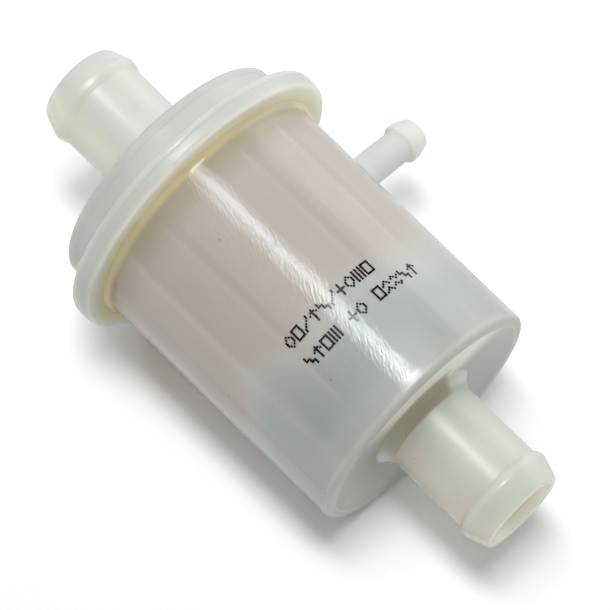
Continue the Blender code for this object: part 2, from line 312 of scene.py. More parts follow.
def nipple_bore_corners():
    """The hole through nipple, wall and rib, with a bevel at the tip."""
    start = BODY_R - WALL - 2 * RIB_HEIGHT
    end = NIPPLE_TIP + 1
    return [
        (start, 0, 0),
        (start, NIPPLE_BORE_R, 0),
        (NIPPLE_TIP - 0.35, NIPPLE_BORE_R, 0),
        (end, NIPPLE_BORE_R + 0.9, 0),
        (end, 0, 0),
    ]


def nipple_tool(name, corners):
    """A shape turned on the nipple's axis."""
    tool = add_mesh(name, turned(rounded(corners, closed=False), NIPPLE_STEPS, closed=False))
    turn = Matrix.Rotation(math.radians(-90), 4, "Z")
    drop = Matrix.Rotation(math.radians(NIPPLE_DROP), 4, "X")
    tool.data.transform(Matrix.Translation((NIPPLE_X * MM, 0, 0)) @ drop @ turn)
    return tool


def build_housing(material):
    profile = rounded(housing_corners())
    shell = add_mesh("housing_shell", turned(profile, TURN_STEPS, shape=housing_shape))
    cut_or_join(shell, nipple_tool("nipple_tool", nipple_corners()), "UNION")
    cut_or_join(shell, nipple_tool("bore_tool", nipple_bore_corners()), "DIFFERENCE")
    merge_twins(shell)
    finish_piece(shell, material, "body_nylon", "housing")


def cover_corners():
    """The cover's half section, with the fine step between the dome's side and its round edge."""
    weld = FLANGE_TOP + WELD_GAP
    spigot_r = BODY_R - WALL - 0.3
    inner_r = DOME_R - DOME_WALL
    inner_top = DOME_TOP - DOME_WALL
    outer = [
        (SPIGOT_END, spigot_r, 0.15),
        (weld, spigot_r, 0),
        (weld, FLANGE_R - 0.02, 0),
        (weld + 0.3, FLANGE_R, 0.5),
        (COVER_TOP_FACE, FLANGE_R - 0.1, 0.6),
        (COVER_TOP_FACE, DOME_R + 0.1, 0.3),
        (DOME_TOP - DOME_EDGE_R + 0.35, DOME_R, 0),
        (DOME_TOP - DOME_EDGE_R + 0.45, DOME_R + 0.06, 0.03),
        (DOME_TOP - DOME_EDGE_R + 0.55, DOME_R - 0.02, 0),
        (DOME_TOP, DOME_R - 0.05, DOME_EDGE_R - 0.4),
        (DOME_TOP, STEM_R, 0.7),
    ]
    stem = barb(INLET_TIP - BARB_LENGTH, INLET_TIP, 0.35)
    inner = [
        (inner_top, BORE_R, 0.4),
        (inner_top, inner_r, 1.2),
        (COVER_TOP_FACE + 1.2, inner_r, 0.2),
        (COVER_TOP_FACE, spigot_r - 1.0, 0.2),
        (SPIGOT_END, spigot_r - 1.0, 0.15),
    ]
    return outer + stem + inner


def build_cover(material):
    cover = add_mesh("cover_shell", turned(rounded(cover_corners()), TURN_STEPS))
    finish_piece(cover, material, "cover_nylon", "inlet_cover")


# ---------------------------------------------------------------- materials

class Nodes:
    """Small helper that writes a material's node tree in few lines."""

    def __init__(self, name):
        self.material = bpy.data.materials.new(name)
        self.material.use_nodes = True
        self.tree = self.material.node_tree
        self.shader = self.tree.nodes["Principled BSDF"]

    def add(self, kind, **settings):
        node = self.tree.nodes.new(kind)
        for key, value in settings.items():
            setattr(node, key, value)
        return node

    def link(self, source, target):
        self.tree.links.new(source, target)

    def feed(self, node, index, value):
        if isinstance(value, (int, float, tuple)):
            node.inputs[index].default_value = value
        else:
            self.link(value, node.inputs[index])

    def math(self, operation, *values):
        node = self.add("ShaderNodeMath", operation=operation)
        for index, value in enumerate(values):
            self.feed(node, index, value)
        return node.outputs[0]

    def plus(self, first, second):
        return self.math("ADD", first, second)

    def minus(self, first, second):
        return self.math("SUBTRACT", first, second)

    def times(self, first, *others):
        """The product of any number of values or masks."""
        total = first
        for value in others:
            total = self.math("MULTIPLY", total, value)
        return total

    def away(self, value, centre):
        """How far a value is from a centre, on either side."""
        return self.math("ABSOLUTE", self.minus(value, centre))

    def mix(self, factor, first, second):
        node = self.add("ShaderNodeMix", data_type="RGBA")
        self.feed(node, 0, factor)
        self.feed(node, 6, first)
        self.feed(node, 7, second)
        return node.outputs[2]

    def step(self, value, start, full):
        """Smooth 0 to 1 as value goes from start to full; start may be above full."""
        node = self.add("ShaderNodeMapRange", interpolation_type="SMOOTHERSTEP")
        node.clamp = True
        flip = start > full
        self.feed(node, 0, value)
        self.feed(node, 1, min(start, full))
        self.feed(node, 2, max(start, full))
        self.feed(node, 3, 1 if flip else 0)
        self.feed(node, 4, 0 if flip else 1)
        return node.outputs[0]

    def noise(self, vector, scale, detail=2.0, roughness=0.5):
        node = self.add("ShaderNodeTexNoise")
        self.link(vector, node.inputs["Vector"])
        node.inputs["Scale"].default_value = scale
        node.inputs["Detail"].default_value = detail
        node.inputs["Roughness"].default_value = roughness
        return node.outputs["Fac"]

    def scaled(self, vector, factor):
        """A vector or colour times one factor, a number or a socket."""
        node = self.add("ShaderNodeVectorMath", operation="SCALE")
        self.link(vector, node.inputs[0])
        self.feed(node, "Scale", factor)
        return node.outputs[0]

    def stretched(self, vector, along, across):
        """A copy of the vector, scaled along X and across it, so that a noise runs along the part."""
        node = self.add("ShaderNodeVectorMath", operation="MULTIPLY")
        self.link(vector, node.inputs[0])
        node.inputs[1].default_value = (along, across, across)
        return node.outputs[0]

    def place(self):
        """Object coordinates in millimetres: the vector, x, radius and angle around the axis in degrees."""
        coordinates = self.add("ShaderNodeTexCoord")
        vector = self.scaled(coordinates.outputs["Object"], 1 / MM)
        parts = self.add("ShaderNodeSeparateXYZ")
        self.link(vector, parts.inputs[0])
        x, y, z = parts.outputs
        radius = self.math("SQRT", self.plus(self.times(y, y), self.times(z, z)))
        angle = self.math("DEGREES", self.math("ARCTAN2", self.times(y, -1.0), z))
        return vector, x, radius, angle

    def bump(self, height, strength, distance, normal=None):
        node = self.add("ShaderNodeBump")
        node.inputs["Strength"].default_value = strength
        node.inputs["Distance"].default_value = distance
        self.link(height, node.inputs["Height"])
        if normal:
            self.link(normal, node.inputs["Normal"])
        return node.outputs[0]


class Zones:
    """Soft masks of a material's zones, each built once from a table and the measures it names.

    A zone is the product of its parts: the name of another zone or measure, or a smooth step
    (measure, start, full) from 0 at the start to 1 where the zone is full.
    """

    def __init__(self, nodes, table, **measures):
        self.nodes = nodes
        self.table = table
        self.built = measures

    def __getitem__(self, name):
        if name not in self.built:
            parts = [self.part(part) for part in self.table[name]]
            self.built[name] = self.nodes.times(*parts)
        return self.built[name]

    def part(self, part):
        if isinstance(part, str):
            return self[part]
        measure, start, full = part
        return self.nodes.step(self[measure], start, full)


def linear(red, green, blue):
    """An sRGB colour, 0 to 255, as linear values."""
    def channel(value):
        value /= 255
        return value / 12.92 if value <= 0.04045 else ((value + 0.055) / 1.055) ** 2.4
    return (channel(red), channel(green), channel(blue), 1.0)


NYLON = linear(230, 232, 225)
NYLON_INLET = linear(229, 231, 224)
# Painted warm light on the inlet stem's shaded side, where light comes through.
NYLON_WARM_LIGHT = linear(253, 246, 224)
NYLON_DOME = linear(218, 220, 214)
NYLON_OUTLET = linear(206, 211, 203)
# Painted warm light on the outlet stem's shaded side.
NYLON_OUTLET_WARM_LIGHT = linear(222, 217, 202)
# Painted light inside the bore.
NYLON_BORE_LIGHT = linear(250, 246, 230)
NYLON_NIPPLE = linear(253, 252, 234)
NYLON_BY_PAPER = linear(208, 198, 190)
NYLON_BY_SUMP = linear(194, 200, 198)
NYLON_AT_BOTTOM = linear(196, 199, 192)
# The dish in painted shade, also laid on the rim, and its upper part in painted light.
NYLON_DISH = linear(188, 191, 183)
NYLON_LIT_DISH = linear(253, 252, 238)
# Painted shade in the collar round the outlet's stem.
NYLON_COLLAR_SHADE = linear(190, 187, 162)
NYLON_FLANGE = linear(223, 225, 217)
# Painted shade on the wall next to the flange.
NYLON_SHADED_BY_FLANGE = linear(184, 172, 150)
# Painted light under the flange.
NYLON_UNDER_FLANGE_LIGHT = linear(255, 249, 226)
# Painted yellow light in the corner of flange and wall.
NYLON_CORNER_LIGHT = linear(238, 222, 168)
PAPER_END_SHADE = linear(168, 172, 172)
RIB_TINT = linear(214, 205, 196)
RIB_SHADE = linear(160, 147, 139)
SPECK = linear(120, 112, 100)
GLOW = linear(255, 246, 214)
NYLON_IOR = 1.53
NYLON_SCATTER = (1.0, 0.92, 0.76)
WALL_WEIGHT = 0.6           # subsurface weight of the thin wall
MASSIVE_WEIGHT = 0.35       # added in massive parts
WALL_REACH = 1.6 * MM       # how far light travels in the thin wall
MASSIVE_REACH = 2.0 * MM    # added in massive parts
WELD_SHIELD = 0.95          # how well the weld line keeps light in its own flange
CLOUD_SCALE = 0.09          # scales of noises are cells per millimetre
CLOUD_CONTRAST = 0.05
FINE_SCALE = 1.3
FINE_CONTRAST = 0.03
DARKEST_SHADE = 0.96
SPECK_SCALE = 0.22
SPECK_EDGE = (0.055, 0.03)  # distance from a cell's middle where a speck starts and where it is full
SPECK_STRENGTH = 0.45
GLOSS_SCALE = 0.16
GLOSS_CONTRAST = 0.10       # patches of more and less gloss, around a material's own roughness
WAVE_SCALE = 0.22
WAVE_HEIGHT = 0.16 * MM
WAVE_STRENGTH = 0.3
HAIR_HEIGHT = 0.05 * MM
GRAIN_HEIGHT = 0.05 * MM    # of the pieces inside
HOUSING_ROUGHNESS = 0.12
HOUSING_MASSIVE_ROUGHNESS = 0.22    # added on massive parts
SATIN_BOTTOM = 0.8          # the bottom's share of that addition
BARB_GLOSS = 0.11           # taken off at the outlet's tip
COVER_ROUGHNESS = 0.20
COVER_STEM_ROUGHNESS = 0.09         # added on the stem
COVER_STEM_GLOW = 0.008
COVER_WARM_GLOW = 0.055     # added on the stem's warm side
NEAR_MOUTH_SHARE = 0.25     # how far the outlet's stem turns to plain nylon at its mouth
CORNER_LIGHT_YELLOW = 0.45        # painted yellow light in the flange's corner all round
CORNER_LIGHT_YELLOW_SIDE = 0.35   # added on the side that the table shades
WOBBLE_SCALE = 0.07
PAPER_WOBBLE = 12.0         # how far the paper's end wobbles, in millimetres over the noise's range
RIB_PATCH_SCALE = 0.11

# Zones: x and along in millimetres from the datum, radius in millimetres, angle in degrees from the
# top. "along" is x with a wobble, for the paper's uneven end.
HOUSING_ZONES = {
    "wall": (("radius", 18.6, 19.4), ("radius", 20.9, 20.2)),
    "paper": (("along", PAPER_END - 6.0, PAPER_END + 10.0), ("x", 0.5, -1.5), "wall"),
    "sump": (("along", PAPER_END + 9.5, PAPER_END - 6.5), ("x", BODY_BOTTOM, BODY_BOTTOM + 2.5), "wall"),
    "paper_end": (("along", -45.0, -36.5), ("along", -25.5, -35.5),
                  ("angle", -95.0, -45.0), ("angle", 2.0, -28.0), "wall"),
    "bottom": (("x", BODY_BOTTOM + 6.0, BODY_BOTTOM + 2.5), ("radius", 17.6, 18.5)),
    # painted shade on the wall next to the flange
    "top": (("x", -8.0, -0.5), ("x", 0.6, 0.0), "wall"),
    # painted highlight: a pale patch beside the streak at the wall's lower end
    "glint_patch": (("x", -32.0, -42.0), ("x", BODY_BOTTOM + 0.8, BODY_BOTTOM + 2.0), "wall",
              ("off_glint_patch", 16.0, 4.0)),
    "dish": (("x", BODY_BOTTOM + 1.6, BODY_BOTTOM + 1.2), ("radius", 18.1, 17.7), ("radius", 8.6, 9.4)),
    # painted light on the dish's upper part
    "dish_lit": (("off_dish_lit", 62.0, 20.0),),
    # painted shade on the bottom's rounded rim
    "edge": (("x", BODY_BOTTOM + 2.0, BODY_BOTTOM + 1.0), ("radius", 17.6, 18.4), ("radius", 19.8, 19.4)),
    "outlet": (("radius", 9.2, 8.6), ("x", BODY_BOTTOM, BODY_BOTTOM - 1.0)),
    # side of the stems with painted warm light
    "warm_light_side": (("angle", -15.0, -85.0),),
    "near_mouth": (("x", -46.5, -57.0),),
    # painted light inside the bore
    "bore": (("radius", 6.1, 5.7), ("x", STANDPIPE_TOP + 8.0, STANDPIPE_TOP)),
    # painted shade in the collar, on one side only
    "collar_shade": (("radius", 13.0, 9.0), ("radius", 7.41, 7.5),
               ("x", BODY_BOTTOM + 1.6, BODY_BOTTOM + 1.1), ("x", BODY_BOTTOM - 1.3, BODY_BOTTOM - 1.1),
               ("angle", 32.0, 20.0), ("angle", -110.0, -60.0)),
    "flange": (("radius", 21.2, 22.6), ("x", -0.5, 0.5)),
    # painted light under the flange
    "under_flange_light": (("x", -0.3, -0.05), ("x", 0.6, 0.1), ("radius", 20.2, 20.8)),
    # painted yellow light in the corner of flange and wall
    "corner": (("x", -1.5, -0.2), ("x", 0.5, 0.1), ("radius", 23.4, 20.3), ("radius", 18.8, 19.4)),
    "table_shaded_side": (("angle", 60.0, -30.0),),
    "nipple": (("radius", 20.6, 23.0), ("x", -1.0, -3.0)),
    "ribs": (("x", -1.2, -5.4), ("x", -44.0, -42.0), "wall", ("patchiness", 0.3, 0.7)),
    "rib_line": (("off_rib", 2.2, 0.2), "ribs"),
    "rib_shade": (("off_rib_shade", 3.4, 0.4), "ribs"),
    "corner_glow": (("x", -0.8, -0.1), ("x", 1.2, 0.0), ("radius", 19.4, 20.2), ("angle", -75.0, -20.0)),
    "mouth_glow": (("radius", 6.3, 5.6), ("x", -46.0, -60.0)),
    "stem_glow": ("outlet", ("x", -46.0, -57.0)),
    "dish_glow": ("dish", "dish_lit"),
    "stem": (("x", BODY_BOTTOM + 0.5, BODY_BOTTOM - 1.5), ("radius", 18.4, 18.0)),
    "outside_wall": (("radius", 20.4, 21.4),),
    "satin_bottom": (("x", BODY_BOTTOM + 2.0, BODY_BOTTOM + 0.9),),
    "glossy_barb": (("x", -59.3, -60.0),),
    "hair": (("radius", 19.3, 19.6), ("x", BODY_BOTTOM + 1.2, BODY_BOTTOM + 2.2)),
}
COVER_ZONES = {
    "dome": (("x", 10.0, 8.8), ("x", 3.2, 3.9)),
    "stem": (("x", 9.0, 11.0),),
    # side of the stem with painted warm light
    "warm_light_side": (("angle", -22.0, -75.0),),
    "massive": (("x", 8.0, 10.0),),
    "hair": (("x", 11.0, 8.5),),
}
WELD_ZONES = {
    "weld": (("off_weld", 1.8, 0.3), ("radius", 21.0, 22.5)),
}
GLINT_PATCH_ANGLE = -5.0          # middle of the painted highlight patch at the wall's lower end
DISH_LIT_ANGLE = 2.0        # middle of the painted light on the bottom's upper part
RIB_SHADE_OFFSET = 3.5      # degrees from a rib's pale line to the middle of its shade

# Coats of colour (zone, strength, colour), laid one over another.
WALL_COATS = (
    ("paper", 1.0, NYLON_BY_PAPER),
    ("sump", 1.0, NYLON_BY_SUMP),
    ("paper_end", 0.4, PAPER_END_SHADE),
    ("bottom", 0.7, NYLON_AT_BOTTOM),
    # painted shade next to the flange
    ("top", 0.8, NYLON_SHADED_BY_FLANGE),
    # painted highlight patch
    ("glint_patch", 0.25, NYLON),
)
FLANGE_COATS = (
    ("flange", 1.0, NYLON_FLANGE),
    # painted light under the flange
    ("under_flange_light", 1.0, NYLON_UNDER_FLANGE_LIGHT),
)
LAST_COATS = (
    # painted shade in the collar
    ("collar_shade", 1.0, NYLON_COLLAR_SHADE),
    ("nipple", 1.0, NYLON_NIPPLE),
    # painted light inside the bore
    ("bore", 1.0, NYLON_BORE_LIGHT),
    # painted shade on the rim
    ("edge", 0.55, NYLON_DISH),
    ("rib_line", 0.5, RIB_TINT),
    ("rib_shade", 0.14, RIB_SHADE),
)
HOUSING_GLOWS = (           # zone, strength of the emission
    ("corner_glow", 0.09),
    ("mouth_glow", 0.05),
    ("stem_glow", 0.03),
    ("dish_glow", 0.045),
)

HOUSING_HAIR = (math.radians(30), 0.27, 0.5)    # slant, pitch in millimetres, strength
COVER_HAIR = (math.radians(90), 0.3, 0.45)
HAIR_ALONG = 0.22           # how slowly the lines change along themselves


def coated(nodes, zones, colour, coats):
    """Lay coats of colour over a first one."""
    for zone, strength, paint in coats:
        colour = nodes.mix(nodes.times(zones[zone], strength), colour, paint)
    return colour


def nylon_base(nodes, vector, base):
    """Flow marks and fine mottling of moulded nylon."""
    cloud = nodes.noise(nodes.stretched(vector, 0.5, 1.0), CLOUD_SCALE, 2.0)
    fine = nodes.noise(vector, FINE_SCALE, 3.0)
    shade = nodes.plus(nodes.times(cloud, CLOUD_CONTRAST), nodes.times(fine, FINE_CONTRAST))
    return nodes.scaled(base, nodes.plus(shade, DARKEST_SHADE))


def nylon_specks(nodes, vector, colour):
    """Rare dark specks frozen in the plastic."""
    cells = nodes.add("ShaderNodeTexVoronoi", feature="F1")
    nodes.link(vector, cells.inputs["Vector"])
    cells.inputs["Scale"].default_value = SPECK_SCALE
    speck = nodes.step(cells.outputs["Distance"], *SPECK_EDGE)
    return nodes.mix(nodes.times(speck, SPECK_STRENGTH), colour, SPECK)


def hairlines(nodes, place, slant, pitch):
    """Height of fine polishing lines left by the mould, at a slant to the axis."""
    _vector, x, radius, angle = place
    arc = nodes.times(nodes.math("RADIANS", angle), radius)
    along = nodes.plus(nodes.times(x, math.cos(slant)), nodes.times(arc, math.sin(slant)))
    across = nodes.minus(nodes.times(arc, math.cos(slant)), nodes.times(x, math.sin(slant)))
    joined = nodes.add("ShaderNodeCombineXYZ")
    nodes.link(nodes.times(along, HAIR_ALONG / pitch), joined.inputs[0])
    nodes.link(nodes.times(across, 1 / pitch), joined.inputs[1])
    return nodes.noise(joined.outputs[0], 1.0, 1.0)


def nylon_surface(nodes, place, colour, roughness, massive, hair_zone, hair):
    """Cloudy nylon with hairlines. Light travels further in massive parts than in the thin wall."""
    vector, x, radius, _angle = place
    slant, pitch, strength = hair
    weld = Zones(nodes, WELD_ZONES, off_weld=nodes.away(x, FLANGE_TOP), radius=radius)["weld"]
    shader = nodes.shader
    nodes.link(colour, shader.inputs["Base Color"])
    weight = nodes.plus(nodes.times(massive, MASSIVE_WEIGHT), WALL_WEIGHT)
    nodes.link(weight, shader.inputs["Subsurface Weight"])
    shader.inputs["Subsurface Radius"].default_value = NYLON_SCATTER
    reach = nodes.plus(nodes.times(massive, MASSIVE_REACH), WALL_REACH)
    across_weld = nodes.minus(1.0, nodes.times(weld, WELD_SHIELD))
    nodes.link(nodes.times(reach, across_weld), shader.inputs["Subsurface Scale"])
    shader.inputs["IOR"].default_value = NYLON_IOR
    patches = nodes.noise(vector, GLOSS_SCALE, 3.0)
    uneven = nodes.minus(nodes.times(patches, GLOSS_CONTRAST), GLOSS_CONTRAST / 2)
    nodes.link(nodes.plus(uneven, roughness), shader.inputs["Roughness"])
    waves = nodes.noise(vector, WAVE_SCALE, 2.0)
    lines = nodes.times(hairlines(nodes, place, slant, pitch), hair_zone)
    fine = nodes.bump(lines, strength, HAIR_HEIGHT)
    nodes.link(nodes.bump(waves, WAVE_STRENGTH, WAVE_HEIGHT, fine), shader.inputs["Normal"])


def housing_zones(nodes, place):
    """The housing's zones, with the measures that their table names."""
    vector, x, radius, angle = place
    wobble = nodes.times(nodes.minus(nodes.noise(vector, WOBBLE_SCALE, 1.0), 0.5), PAPER_WOBBLE)
    pitch = 360 / RIBS
    # One rib lies along the nipple; two whole turns keep the angle positive.
    turn = nodes.plus(angle, 720.0 - 90 - NIPPLE_DROP + pitch / 2)
    off_rib = nodes.minus(nodes.math("MODULO", turn, pitch), pitch / 2)
    return Zones(
        nodes,
        HOUSING_ZONES,
        x=x,
        along=nodes.plus(x, wobble),
        radius=radius,
        angle=angle,
        off_glint_patch=nodes.away(angle, GLINT_PATCH_ANGLE),
        off_dish_lit=nodes.away(angle, DISH_LIT_ANGLE),
        off_rib=nodes.away(off_rib, 0.0),
        off_rib_shade=nodes.away(off_rib, RIB_SHADE_OFFSET),
        patchiness=nodes.noise(nodes.stretched(vector, 0.3, 1.0), RIB_PATCH_SCALE, 1.0),
    )


def housing_colour(nodes, zones):
    """The wall over paper and sump, the bottom, the outlet's stem, the flange and the inner ribs, with
    painted shade by the flange, in the collar, on the dish and rim, and painted light on the dish, in the
    bore, under the flange, in its corner, on the stem's warm side and beside the wall's highlight.
    """
    colour = coated(nodes, zones, NYLON, WALL_COATS)
    # Painted light on the dish's upper part over its painted shade.
    bottom = nodes.mix(zones["dish_lit"], NYLON_DISH, NYLON_LIT_DISH)
    colour = nodes.mix(zones["dish"], colour, bottom)
    # Painted warm light on the outlet stem's shaded side.
    stem = nodes.mix(zones["warm_light_side"], NYLON_OUTLET, NYLON_OUTLET_WARM_LIGHT)
    stem = nodes.mix(nodes.times(zones["near_mouth"], NEAR_MOUTH_SHARE), stem, NYLON)
    colour = nodes.mix(zones["outlet"], colour, stem)
    colour = coated(nodes, zones, colour, FLANGE_COATS)
    # Painted light: a yellow glow in the corner of flange and wall, more on the side that the table shades.
    corner_light_share = nodes.plus(CORNER_LIGHT_YELLOW, nodes.times(zones["table_shaded_side"], CORNER_LIGHT_YELLOW_SIDE))
    colour = nodes.mix(nodes.times(zones["corner"], corner_light_share), colour, NYLON_CORNER_LIGHT)
    return coated(nodes, zones, colour, LAST_COATS)


def housing_glow(nodes, zones):
    """Light that gathers where the plastic is thick, as a faint emission."""
    total = 0.0
    for zone, strength in HOUSING_GLOWS:
        total = nodes.plus(total, nodes.times(zones[zone], strength))
    nodes.shader.inputs["Emission Color"].default_value = GLOW
    nodes.link(total, nodes.shader.inputs["Emission Strength"])


def housing_material():
    """Nylon that shows through its tints what lies behind the wall, with painted light and shade in places.
    """
    nodes = Nodes("housing_nylon")
    place = nodes.place()
    vector = place[0]
    zones = housing_zones(nodes, place)
    colour = nylon_specks(nodes, vector, nylon_base(nodes, vector, housing_colour(nodes, zones)))
    housing_glow(nodes, zones)
    massive = nodes.math("MAXIMUM", zones["stem"], zones["outside_wall"])
    rough = nodes.math("MAXIMUM", massive, nodes.times(zones["satin_bottom"], SATIN_BOTTOM))
    roughness = nodes.plus(nodes.times(rough, HOUSING_MASSIVE_ROUGHNESS), HOUSING_ROUGHNESS)
    roughness = nodes.minus(roughness, nodes.times(zones["glossy_barb"], BARB_GLOSS))
    nylon_surface(nodes, place, colour, roughness, massive, zones["hair"], HOUSING_HAIR)
    return nodes.material


def cover_material():
    """Nylon with fine turning lines on the dome and a deep stem, with painted warm light on the stem's
    shaded side.
    """
    nodes = Nodes("cover_nylon")
    place = nodes.place()
    vector, x, _radius, angle = place
    zones = Zones(nodes, COVER_ZONES, x=x, angle=angle)
    # Painted warm light on the stem's shaded side.
    stem = nodes.mix(zones["warm_light_side"], NYLON_INLET, NYLON_WARM_LIGHT)
    colour = nodes.mix(zones["dome"], nodes.mix(zones["stem"], NYLON, stem), NYLON_DOME)
    plain = nylon_base(nodes, vector, colour)
    # Specks would blur into smudges on the stem, where light travels far.
    colour = nodes.mix(zones["stem"], nylon_specks(nodes, vector, plain), plain)
    roughness = nodes.plus(nodes.times(zones["stem"], COVER_STEM_ROUGHNESS), COVER_ROUGHNESS)
    gathered = nodes.plus(nodes.times(zones["warm_light_side"], COVER_WARM_GLOW), COVER_STEM_GLOW)
    nodes.shader.inputs["Emission Color"].default_value = GLOW
    nodes.link(nodes.times(gathered, zones["stem"]), nodes.shader.inputs["Emission Strength"])
    nylon_surface(nodes, place, colour, roughness, zones["massive"], zones["hair"], COVER_HAIR)
    return nodes.material


def mottled_material(name, colour, second, roughness, scale, bump_strength):
    """Mottled colour, grain and varied roughness, for the pieces inside."""
    nodes = Nodes(name)
    vector, *_ = nodes.place()
    grain = nodes.noise(vector, scale, 4.0, 0.6)
    mottled = nodes.mix(grain, linear(*colour), linear(*second))
    nodes.link(mottled, nodes.shader.inputs["Base Color"])
    varied = nodes.plus(nodes.times(grain, 0.2), roughness - 0.1)
    nodes.link(varied, nodes.shader.inputs["Roughness"])
    nodes.link(nodes.bump(grain, bump_strength, GRAIN_HEIGHT), nodes.shader.inputs["Normal"])
    return nodes.material


INNER_LOOKS = (             # material, its pieces, two colours, roughness, the grain's scale and bump
    ("paper", ("pleated_paper",), (222, 196, 178), (205, 176, 158), 0.85, 4.0, 0.6),
    ("glue", ("paper_seam_glue",), (214, 198, 150), (200, 184, 130), 0.4, 1.0, 0.3),
    ("core", ("centre_tube",), (222, 222, 216), (208, 208, 200), 0.45, 2.0, 0.3),
    ("resin", ("upper_potting", "lower_potting"), (206, 186, 132), (190, 168, 112), 0.35, 0.8, 0.3),
    ("cap", ("upper_end_cap", "lower_end_cap"), (220, 220, 212), (206, 206, 197), 0.45, 2.0, 0.3),
    ("rubber", ("outlet_seal_ring",), (34, 34, 34), (46, 46, 45), 0.6, 6.0, 0.3),
)


def dress_inner_pieces():
    """The pieces inside keep their CAD shape and get procedural materials."""
    for name, pieces, *look in INNER_LOOKS:
        material = mottled_material(name, *look)
        for piece in pieces:
            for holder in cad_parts[piece].material_slots:
                holder.material = material


# ---------------------------------------------------------------- print

SIGNS = {
    "box": ("#####", "#...#", "#...#", "#...#", "#...#", "#...#", "#####"),
    "gem": ("..#..", ".#.#.", "#...#", "#...#", "#...#", ".#.#.", "..#.."),
    "bars": ("#.#.#", "#.#.#", "#.#.#", "#.#.#", "#.#.#", "#.#.#", "#.#.#"),
    "steps": ("#....", "#....", "###..", "..#..", "..###", "....#", "....#"),
    "waves": (".#...", "#.#.#", "...#.", ".....", ".#...", "#.#.#", "...#."),
    "arrow": ("..#..", ".###.", "#.#.#", "..#..", "..#..", "..#..", "..#.."),
    "peaks": ("..#..", ".#.#.", "#...#", ".....", "..#..", ".#.#.", "#...#"),
    "cross": ("..#..", "..#..", "..#..", "#####", "..#..", "..#..", "..#.."),
    "slope": ("....#", "....#", "...#.", "..#..", ".#...", "#....", "#...."),
    "gap": (".....",) * 7,
}
UPPER_SIGNS = ("gem", "box", "slope", "arrow", "steps", "slope", "cross", "gem", "bars", "box")
LOWER_SIGNS = ("steps", "arrow", "box", "bars", "gap", "cross", "gem", "gap", "box", "peaks", "waves",
               "steps", "arrow")
ROWS = ((-27.15, -36.0, UPPER_SIGNS), (-31.1, -35.5, LOWER_SIGNS))
DOT_PITCH = 0.292
SIGN_STEP = 5.85            # dot pitches from one sign to the next
DOT_R = 0.2
DOT_SIDES = 8
DOT_SHIFT = 0.02            # how far a dot may land off its place along the axis
DOT_TURN = 0.001            # and around it, in radians
SMALLEST_DOT = 0.9
INK_THICKNESS = 0.01
INK = linear(12, 6, 10)
INK_WORN = linear(34, 20, 28)


def add_dot(builder, x, angle, radius):
    """One flat drop of ink: a thin prism that follows the wall."""
    low, high = [], []
    for step in range(DOT_SIDES):
        turn = 2 * math.pi * (step + 0.5) / DOT_SIDES
        dx = radius * math.cos(turn)
        da = radius * math.sin(turn) / BODY_R
        wall = BODY_R - DRAFT * min(1, x / BODY_BOTTOM)
        low.append(builder.verts.new(around(x + dx, wall - INK_THICKNESS, angle + da)))
        high.append(builder.verts.new(around(x + dx, wall + INK_THICKNESS, angle + da)))
    builder.faces.new(high)
    builder.faces.new(low[::-1])
    for step in range(DOT_SIDES):
        following = (step + 1) % DOT_SIDES
        builder.faces.new((low[step], low[following], high[following], high[step]))


def printed_dots():
    """The place along the axis and the angle of every dot of the print, before it lands unevenly."""
    for top, first_angle, signs in ROWS:
        for place, sign in enumerate(signs):
            for row, dots in enumerate(SIGNS[sign]):
                for column, dot in enumerate(dots):
                    if dot == "#":
                        across = (place * SIGN_STEP + column) * DOT_PITCH / BODY_R
                        yield top - row * DOT_PITCH, math.radians(first_angle) + across


def ink_material():
    nodes = Nodes("ink")
    vector, *_ = nodes.place()
    wear = nodes.noise(vector, 1.8, 3.0)
    nodes.link(nodes.mix(wear, INK, INK_WORN), nodes.shader.inputs["Base Color"])
    nodes.link(nodes.plus(nodes.times(wear, 0.15), 0.12), nodes.shader.inputs["Roughness"])
    return nodes.material


def build_print():
    """Two rows of abstract dot-matrix signs in place of the lettering."""
    chance = random.Random(7)
    builder = bmesh.new()
    for x, angle in printed_dots():
        x += chance.uniform(-DOT_SHIFT, DOT_SHIFT)
        angle += chance.uniform(-DOT_TURN, DOT_TURN)
        add_dot(builder, x, angle, DOT_R * chance.uniform(SMALLEST_DOT, 1.0))
    marks = add_mesh("print_marks", builder)
    finish_piece(marks, ink_material(), "body_nylon")


# ---------------------------------------------------------------- stage

